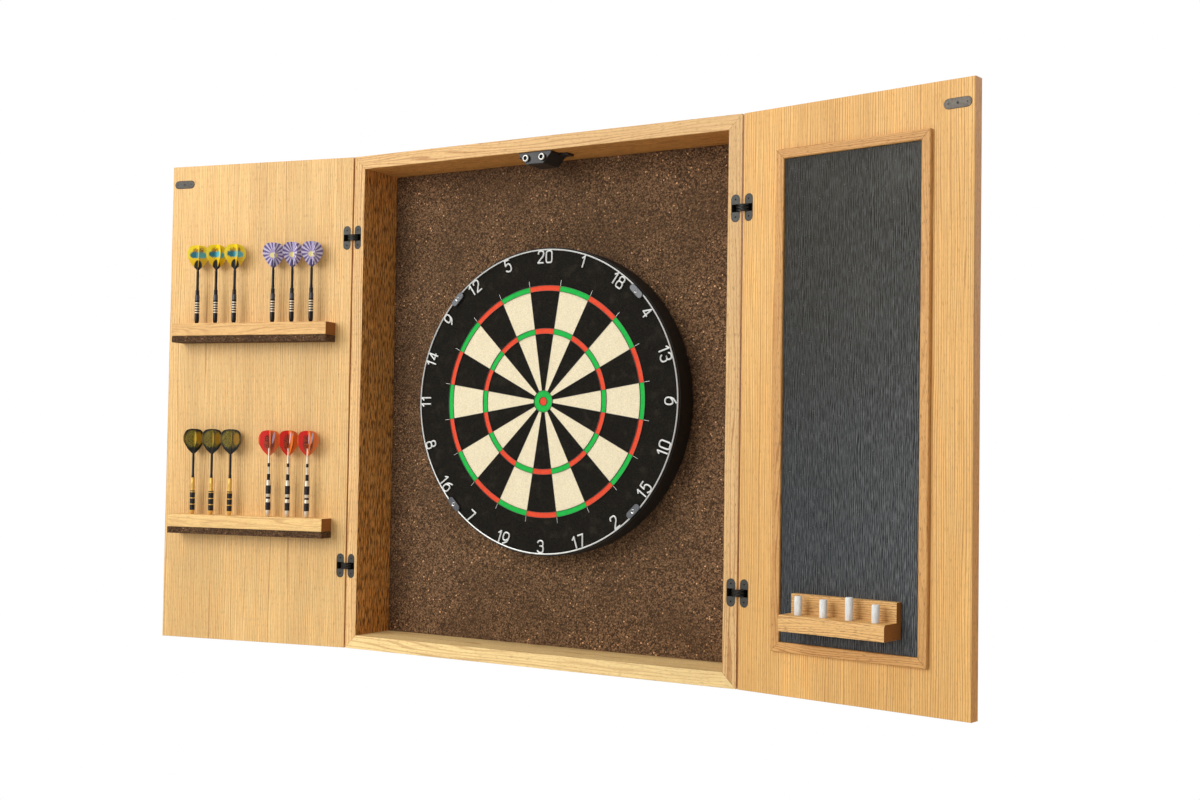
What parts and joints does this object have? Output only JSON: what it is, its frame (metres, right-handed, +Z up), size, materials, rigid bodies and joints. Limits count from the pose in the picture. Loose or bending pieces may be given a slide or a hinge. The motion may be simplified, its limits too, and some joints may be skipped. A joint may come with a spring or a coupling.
{
  "type": "dart board cabinet",
  "caption": "Wall-hung oak cabinet with two doors on concealed hinges, a cork-lined back, a bristle dart board, dart racks and a framed chalkboard.",
  "frame": {"origin": "middle of the back, on the wall's surface, in line with the bull's-eye", "axes": "+X to the right seen from the front, -Y out of the wall towards the viewer, +Z up"},
  "size_m": [1.3297, 0.1899, 0.763],
  "materials": {
    "solid_oak": "satin, straight and cathedral grain",
    "oak_veneer": "satin, straight vertical grain",
    "cork": "dark agglomerated cork, matte, light specks",
    "hinge_metal": "dark antique grey, satin",
    "strike_metal": "dull grey-brown",
    "bracket_steel": "black, satin",
    "black_plastic": "black",
    "bristle": "dyed sisal face, matte",
    "band": "black, satin",
    "wire": "bright wire",
    "yellow_dart": "black barrel, silver grooves, yellow flight",
    "violet_dart": "black barrel, silver grooves, violet flight",
    "brass_dart": "brass barrel with black knurled bands, olive flight",
    "red_dart": "silver barrel with black knurled bands, red flight",
    "chalkboard": "matte black chalkboard paint over fine wood grain",
    "chalk": "white, matte"
  },
  "bodies": {
    "cabinet": {"top_board": "solid_oak", "bottom_board": "solid_oak", "left_side_board": "solid_oak", "right_side_board": "solid_oak", "back_panel": "oak_veneer", "cork_panel": "cork", "left_upper_hinge_frame_cup": "hinge_metal", "left_lower_hinge_frame_cup": "hinge_metal", "right_upper_hinge_frame_cup": "hinge_metal", "right_lower_hinge_frame_cup": "hinge_metal", "catch_housing": "black_plastic", "dartboard_bracket": "bracket_steel"},
    "left_door": {"left_door_panel": "oak_veneer", "left_upper_hinge_door_cup": "hinge_metal", "left_lower_hinge_door_cup": "hinge_metal", "left_strike_plate": "strike_metal", "upper_rack_rail": "solid_oak", "upper_rack_cork": "cork", "lower_rack_rail": "solid_oak", "lower_rack_cork": "cork"},
    "right_door": {"right_door_panel": "oak_veneer", "right_upper_hinge_door_cup": "hinge_metal", "right_lower_hinge_door_cup": "hinge_metal", "right_strike_plate": "strike_metal", "chalkboard_panel": "chalkboard", "chalkboard_top_moulding": "solid_oak", "chalkboard_bottom_moulding": "solid_oak", "chalkboard_left_moulding": "solid_oak", "chalkboard_right_moulding": "solid_oak", "chalk_holder": "solid_oak"},
    "left_upper_frame_arm": {"left_upper_hinge_frame_arm": "hinge_metal"},
    "left_upper_door_arm": {"left_upper_hinge_door_arm": "hinge_metal"},
    "left_lower_frame_arm": {"left_lower_hinge_frame_arm": "hinge_metal"},
    "left_lower_door_arm": {"left_lower_hinge_door_arm": "hinge_metal"},
    "right_upper_frame_arm": {"right_upper_hinge_frame_arm": "hinge_metal"},
    "right_upper_door_arm": {"right_upper_hinge_door_arm": "hinge_metal"},
    "right_lower_frame_arm": {"right_lower_hinge_frame_arm": "hinge_metal"},
    "right_lower_door_arm": {"right_lower_hinge_door_arm": "hinge_metal"},
    "left_plunger": {"left_catch_plunger": "black_plastic"},
    "right_plunger": {"right_catch_plunger": "black_plastic"},
    "dartboard": {"dartboard_bristle_disc": "bristle", "dartboard_rim_band": "band", "dartboard_wire_grid": "wire"},
    "number_ring": {"number_ring": "wire"},
    "yellow_dart_1": {"yellow_dart_1": "yellow_dart"},
    "yellow_dart_2": {"yellow_dart_2": "yellow_dart"},
    "yellow_dart_3": {"yellow_dart_3": "yellow_dart"},
    "violet_dart_1": {"violet_dart_1": "violet_dart"},
    "violet_dart_2": {"violet_dart_2": "violet_dart"},
    "violet_dart_3": {"violet_dart_3": "violet_dart"},
    "brass_dart_1": {"brass_dart_1": "brass_dart"},
    "brass_dart_2": {"brass_dart_2": "brass_dart"},
    "brass_dart_3": {"brass_dart_3": "brass_dart"},
    "red_dart_1": {"red_dart_1": "red_dart"},
    "red_dart_2": {"red_dart_2": "red_dart"},
    "red_dart_3": {"red_dart_3": "red_dart"},
    "chalk_1": {"chalk_1": "chalk"},
    "chalk_2": {"chalk_2": "chalk"},
    "chalk_3": {"chalk_3": "chalk"},
    "chalk_4": {"chalk_4": "chalk"}
  },
  "joints": [
    {"name": "left_door_hinge", "type": "hinge", "parent": "cabinet", "child": "left_door", "pos_m": [-0.334, -0.101, 0], "axis": [0, 0, -1], "range_deg": [-168.7, 11.3]},
    {"name": "right_door_hinge", "type": "hinge", "parent": "cabinet", "child": "right_door", "pos_m": [0.334, -0.101, 0], "axis": [0, 0, 1], "range_deg": [-170.3, 9.7]},
    {"name": "left_upper_frame_arm_pivot", "type": "hinge", "parent": "cabinet", "child": "left_upper_frame_arm", "pos_m": [-0.3275, -0.0969, 0.255], "axis": [0, 0, -1], "range_deg": [-82, 6.4]},
    {"name": "left_upper_door_arm_pivot", "type": "hinge", "parent": "left_door", "child": "left_upper_door_arm", "pos_m": [-0.34118, -0.09825, 0.255], "axis": [0, 0, 1], "range_deg": [-82, 6.4]},
    {"name": "left_lower_frame_arm_pivot", "type": "hinge", "parent": "cabinet", "child": "left_lower_frame_arm", "pos_m": [-0.3275, -0.0969, -0.255], "axis": [0, 0, -1], "range_deg": [-82, 6.4]},
    {"name": "left_lower_door_arm_pivot", "type": "hinge", "parent": "left_door", "child": "left_lower_door_arm", "pos_m": [-0.34118, -0.09825, -0.255], "axis": [0, 0, 1], "range_deg": [-82, 6.4]},
    {"name": "right_upper_frame_arm_pivot", "type": "hinge", "parent": "cabinet", "child": "right_upper_frame_arm", "pos_m": [0.3275, -0.0969, 0.255], "axis": [0, 0, 1], "range_deg": [-82.7, 5.7]},
    {"name": "right_upper_door_arm_pivot", "type": "hinge", "parent": "right_door", "child": "right_upper_door_arm", "pos_m": [0.3411, -0.09805, 0.255], "axis": [0, 0, -1], "range_deg": [-82.7, 5.7]},
    {"name": "right_lower_frame_arm_pivot", "type": "hinge", "parent": "cabinet", "child": "right_lower_frame_arm", "pos_m": [0.3275, -0.0969, -0.255], "axis": [0, 0, 1], "range_deg": [-82.7, 5.7]},
    {"name": "right_lower_door_arm_pivot", "type": "hinge", "parent": "right_door", "child": "right_lower_door_arm", "pos_m": [0.3411, -0.09805, -0.255], "axis": [0, 0, -1], "range_deg": [-82.7, 5.7]},
    {"name": "left_plunger_slide", "type": "slide", "parent": "cabinet", "child": "left_plunger", "axis": [0, 1, 0], "range_m": [0, 0.004], "stiffness_N_per_m": 400, "springref_m": -0.003},
    {"name": "right_plunger_slide", "type": "slide", "parent": "cabinet", "child": "right_plunger", "axis": [0, 1, 0], "range_m": [0, 0.004], "stiffness_N_per_m": 400, "springref_m": -0.003},
    {"name": "dartboard_turn", "type": "hinge", "parent": "cabinet", "child": "dartboard", "pos_m": [0, -0.0241, 0], "axis": [0, -1, 0], "continuous": true},
    {"name": "number_ring_turn", "type": "hinge", "parent": "dartboard", "child": "number_ring", "pos_m": [0, -0.0621, 0], "axis": [0, -1, 0], "continuous": true},
    {"name": "yellow_dart_1_lift", "type": "slide", "parent": "left_door", "child": "yellow_dart_1", "axis": [0, 0, 1], "range_m": [0, 0.03]},
    {"name": "yellow_dart_2_lift", "type": "slide", "parent": "left_door", "child": "yellow_dart_2", "axis": [0, 0, 1], "range_m": [0, 0.03]},
    {"name": "yellow_dart_3_lift", "type": "slide", "parent": "left_door", "child": "yellow_dart_3", "axis": [0, 0, 1], "range_m": [0, 0.03]},
    {"name": "violet_dart_1_lift", "type": "slide", "parent": "left_door", "child": "violet_dart_1", "axis": [0, 0, 1], "range_m": [0, 0.03]},
    {"name": "violet_dart_2_lift", "type": "slide", "parent": "left_door", "child": "violet_dart_2", "axis": [0, 0, 1], "range_m": [0, 0.03]},
    {"name": "violet_dart_3_lift", "type": "slide", "parent": "left_door", "child": "violet_dart_3", "axis": [0, 0, 1], "range_m": [0, 0.03]},
    {"name": "brass_dart_1_lift", "type": "slide", "parent": "left_door", "child": "brass_dart_1", "axis": [0, 0, 1], "range_m": [0, 0.03]},
    {"name": "brass_dart_2_lift", "type": "slide", "parent": "left_door", "child": "brass_dart_2", "axis": [0, 0, 1], "range_m": [0, 0.03]},
    {"name": "brass_dart_3_lift", "type": "slide", "parent": "left_door", "child": "brass_dart_3", "axis": [0, 0, 1], "range_m": [0, 0.03]},
    {"name": "red_dart_1_lift", "type": "slide", "parent": "left_door", "child": "red_dart_1", "axis": [0, 0, 1], "range_m": [0, 0.03]},
    {"name": "red_dart_2_lift", "type": "slide", "parent": "left_door", "child": "red_dart_2", "axis": [0, 0, 1], "range_m": [0, 0.03]},
    {"name": "red_dart_3_lift", "type": "slide", "parent": "left_door", "child": "red_dart_3", "axis": [0, 0, 1], "range_m": [0, 0.03]},
    {"name": "chalk_1_lift", "type": "slide", "parent": "right_door", "child": "chalk_1", "axis": [0, 0, 1], "range_m": [0, 0.014]},
    {"name": "chalk_2_lift", "type": "slide", "parent": "right_door", "child": "chalk_2", "axis": [0, 0, 1], "range_m": [0, 0.014]},
    {"name": "chalk_3_lift", "type": "slide", "parent": "right_door", "child": "chalk_3", "axis": [0, 0, 1], "range_m": [0, 0.014]},
    {"name": "chalk_4_lift", "type": "slide", "parent": "right_door", "child": "chalk_4", "axis": [0, 0, 1], "range_m": [0, 0.014]}
  ],
  "couplings": [
    {"joint": "left_upper_frame_arm_pivot", "follows": "left_door_hinge", "ratio": 0.48},
    {"joint": "left_upper_door_arm_pivot", "follows": "left_door_hinge", "ratio": 0.48},
    {"joint": "left_lower_frame_arm_pivot", "follows": "left_door_hinge", "ratio": 0.48},
    {"joint": "left_lower_door_arm_pivot", "follows": "left_door_hinge", "ratio": 0.48},
    {"joint": "right_upper_frame_arm_pivot", "follows": "right_door_hinge", "ratio": 0.48},
    {"joint": "right_upper_door_arm_pivot", "follows": "right_door_hinge", "ratio": 0.48},
    {"joint": "right_lower_frame_arm_pivot", "follows": "right_door_hinge", "ratio": 0.48},
    {"joint": "right_lower_door_arm_pivot", "follows": "right_door_hinge", "ratio": 0.48}
  ]
}
